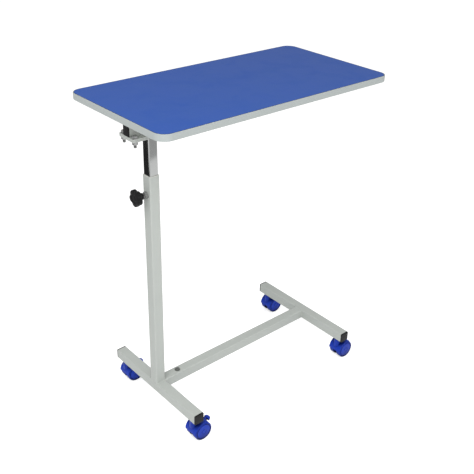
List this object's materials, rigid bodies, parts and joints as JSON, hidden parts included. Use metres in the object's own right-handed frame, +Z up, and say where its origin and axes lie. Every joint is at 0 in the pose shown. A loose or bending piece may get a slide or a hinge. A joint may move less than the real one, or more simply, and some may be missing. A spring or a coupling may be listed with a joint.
{
  "type": "overbed table",
  "caption": "Height-adjustable cantilever overbed table: laminated worktop on a clamped telescopic column over an H-shaped tube base with swivelling twin-wheel casters.",
  "frame": {"origin": "on the floor, under the middle of the worktop", "axes": "+Z up; +X along the worktop from the column to the far end; +Y across, away from the front side"},
  "size_m": [0.8, 0.41, 0.99],
  "materials": {
    "grey_powder_coat": "satin powder coat",
    "chrome_plate": "polished",
    "zinc_plate": "bright zinc",
    "axle_steel": "drawn",
    "black_plastic": "fine texture",
    "nylon": "natural",
    "blue_laminate": "fine matt texture",
    "grey_edge_band": "satin",
    "particle_board": "raw chipboard",
    "backing_sheet": "matt",
    "blue_caster": "moulded nylon"
  },
  "bodies": {
    "base": {"left_foot_bar": "grey_powder_coat", "right_foot_bar": "grey_powder_coat", "foot_bar_end_plugs": "black_plastic", "centre_bar_stub": "grey_powder_coat", "centre_bar_spigot": "zinc_plate", "centre_bar": "grey_powder_coat", "centre_bar_bolt": "zinc_plate", "centre_bar_washer": "zinc_plate", "centre_bar_nut": "zinc_plate", "outer_post": "grey_powder_coat", "post_bush": "nylon", "clamp_weld_nut": "grey_powder_coat", "caster_stems": "zinc_plate", "caster_stem_nuts": "zinc_plate"},
    "column": {"inner_column": "chrome_plate", "column_glide": "nylon", "column_head_plate": "grey_powder_coat", "beam_plate": "grey_powder_coat", "plate_bolts": "zinc_plate", "plate_washers": "zinc_plate", "plate_nuts": "zinc_plate", "top_beam": "grey_powder_coat", "beam_end_caps": "black_plastic", "cross_straps": "grey_powder_coat", "board_core": "particle_board", "backing_sheet": "backing_sheet", "top_laminate": "blue_laminate", "board_screws": "zinc_plate", "edge_band": "grey_edge_band"},
    "clamp_screw": {"clamp_screw": "zinc_plate"},
    "clamp_knob": {"clamp_knob": "black_plastic"},
    "caster_post_front": {"caster_post_front_hood": "blue_caster", "caster_post_front_axle": "axle_steel", "caster_post_front_brake_pin": "axle_steel"},
    "caster_post_front_wheel_front": {"caster_post_front_wheel_front": "blue_caster"},
    "caster_post_front_wheel_back": {"caster_post_front_wheel_back": "blue_caster"},
    "caster_post_front_brake_pedal": {"caster_post_front_brake_pedal": "blue_caster"},
    "caster_post_back": {"caster_post_back_hood": "blue_caster", "caster_post_back_axle": "axle_steel", "caster_post_back_brake_pin": "axle_steel"},
    "caster_post_back_wheel_front": {"caster_post_back_wheel_front": "blue_caster"},
    "caster_post_back_wheel_back": {"caster_post_back_wheel_back": "blue_caster"},
    "caster_post_back_brake_pedal": {"caster_post_back_brake_pedal": "blue_caster"},
    "caster_far_front": {"caster_far_front_hood": "blue_caster", "caster_far_front_axle": "axle_steel"},
    "caster_far_front_wheel_front": {"caster_far_front_wheel_front": "blue_caster"},
    "caster_far_front_wheel_back": {"caster_far_front_wheel_back": "blue_caster"},
    "caster_far_back": {"caster_far_back_hood": "blue_caster", "caster_far_back_axle": "axle_steel"},
    "caster_far_back_wheel_front": {"caster_far_back_wheel_front": "blue_caster"},
    "caster_far_back_wheel_back": {"caster_far_back_wheel_back": "blue_caster"}
  },
  "joints": [
    {"name": "height_slide", "type": "slide", "parent": "base", "child": "column", "axis": [0, 0, 1], "range_m": [-0.105, 0.215]},
    {"name": "clamp_travel", "type": "slide", "parent": "base", "child": "clamp_screw", "axis": [-1, 0, 0], "range_m": [0, 0.003]},
    {"name": "clamp_turn", "type": "hinge", "parent": "clamp_screw", "child": "clamp_knob", "pos_m": [-0.325, 0, 0.7415], "axis": [-1, 0, 0], "range_deg": [0, 720]},
    {"name": "post_front_swivel", "type": "hinge", "parent": "base", "child": "caster_post_front", "pos_m": [-0.291, -0.175, 0.06], "axis": [0, 0, 1], "continuous": true},
    {"name": "post_front_wheel_front_spin", "type": "hinge", "parent": "caster_post_front", "child": "caster_post_front_wheel_front", "pos_m": [-0.27, -0.1906, 0.03], "axis": [0, 1, 0], "continuous": true},
    {"name": "post_front_wheel_back_spin", "type": "hinge", "parent": "caster_post_front", "child": "caster_post_front_wheel_back", "pos_m": [-0.27, -0.1594, 0.03], "axis": [0, 1, 0], "continuous": true},
    {"name": "post_front_brake", "type": "hinge", "parent": "caster_post_front", "child": "caster_post_front_brake_pedal", "pos_m": [-0.2495, -0.175, 0.0495], "axis": [0, 1, 0], "range_deg": [0, 16]},
    {"name": "post_back_swivel", "type": "hinge", "parent": "base", "child": "caster_post_back", "pos_m": [-0.291, 0.175, 0.06], "axis": [0, 0, 1], "continuous": true},
    {"name": "post_back_wheel_front_spin", "type": "hinge", "parent": "caster_post_back", "child": "caster_post_back_wheel_front", "pos_m": [-0.27, 0.1594, 0.03], "axis": [0, 1, 0], "continuous": true},
    {"name": "post_back_wheel_back_spin", "type": "hinge", "parent": "caster_post_back", "child": "caster_post_back_wheel_back", "pos_m": [-0.27, 0.1906, 0.03], "axis": [0, 1, 0], "continuous": true},
    {"name": "post_back_brake", "type": "hinge", "parent": "caster_post_back", "child": "caster_post_back_brake_pedal", "pos_m": [-0.2495, 0.175, 0.0495], "axis": [0, 1, 0], "range_deg": [0, 16]},
    {"name": "far_front_swivel", "type": "hinge", "parent": "base", "child": "caster_far_front", "pos_m": [0.335, -0.175, 0.06], "axis": [0, 0, 1], "continuous": true},
    {"name": "far_front_wheel_front_spin", "type": "hinge", "parent": "caster_far_front", "child": "caster_far_front_wheel_front", "pos_m": [0.356, -0.1906, 0.03], "axis": [0, 1, 0], "continuous": true},
    {"name": "far_front_wheel_back_spin", "type": "hinge", "parent": "caster_far_front", "child": "caster_far_front_wheel_back", "pos_m": [0.356, -0.1594, 0.03], "axis": [0, 1, 0], "continuous": true},
    {"name": "far_back_swivel", "type": "hinge", "parent": "base", "child": "caster_far_back", "pos_m": [0.335, 0.175, 0.06], "axis": [0, 0, 1], "continuous": true},
    {"name": "far_back_wheel_front_spin", "type": "hinge", "parent": "caster_far_back", "child": "caster_far_back_wheel_front", "pos_m": [0.356, 0.1594, 0.03], "axis": [0, 1, 0], "continuous": true},
    {"name": "far_back_wheel_back_spin", "type": "hinge", "parent": "caster_far_back", "child": "caster_far_back_wheel_back", "pos_m": [0.356, 0.1906, 0.03], "axis": [0, 1, 0], "continuous": true}
  ],
  "couplings": [
    {"joint": "clamp_turn", "follows": "clamp_travel", "rad_per_m": 4188.8}
  ]
}
